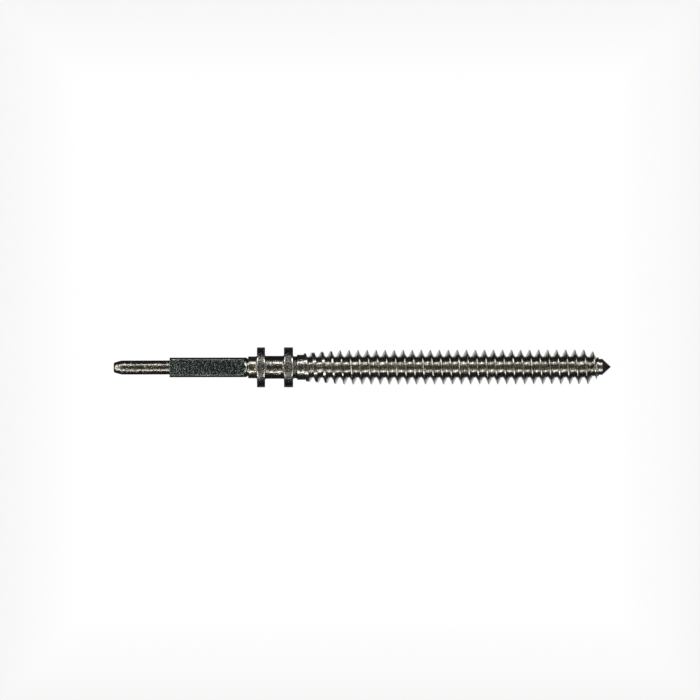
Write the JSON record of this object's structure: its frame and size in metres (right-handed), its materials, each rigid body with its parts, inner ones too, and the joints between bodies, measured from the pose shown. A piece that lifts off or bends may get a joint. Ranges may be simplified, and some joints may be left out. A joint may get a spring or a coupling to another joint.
{
  "type": "watch winding stem",
  "caption": "Watch winding stem turned from steel bar: thin pilot, driving square, round collars with a lever groove between them, and a long threaded shank for the crown.",
  "frame": {"origin": "on the stem's axis, at the shoulder where the pilot meets the square", "axes": "+X along the stem towards the crown end, +Z out of one flat of the square, +Y out of the next flat"},
  "size_m": [0.0124, 0.001, 0.001],
  "materials": {
    "steel": "hardened steel, finely turned and lightly polished"
  },
  "bodies": {
    "root": {"winding_stem": "steel"}
  },
  "joints": []
}
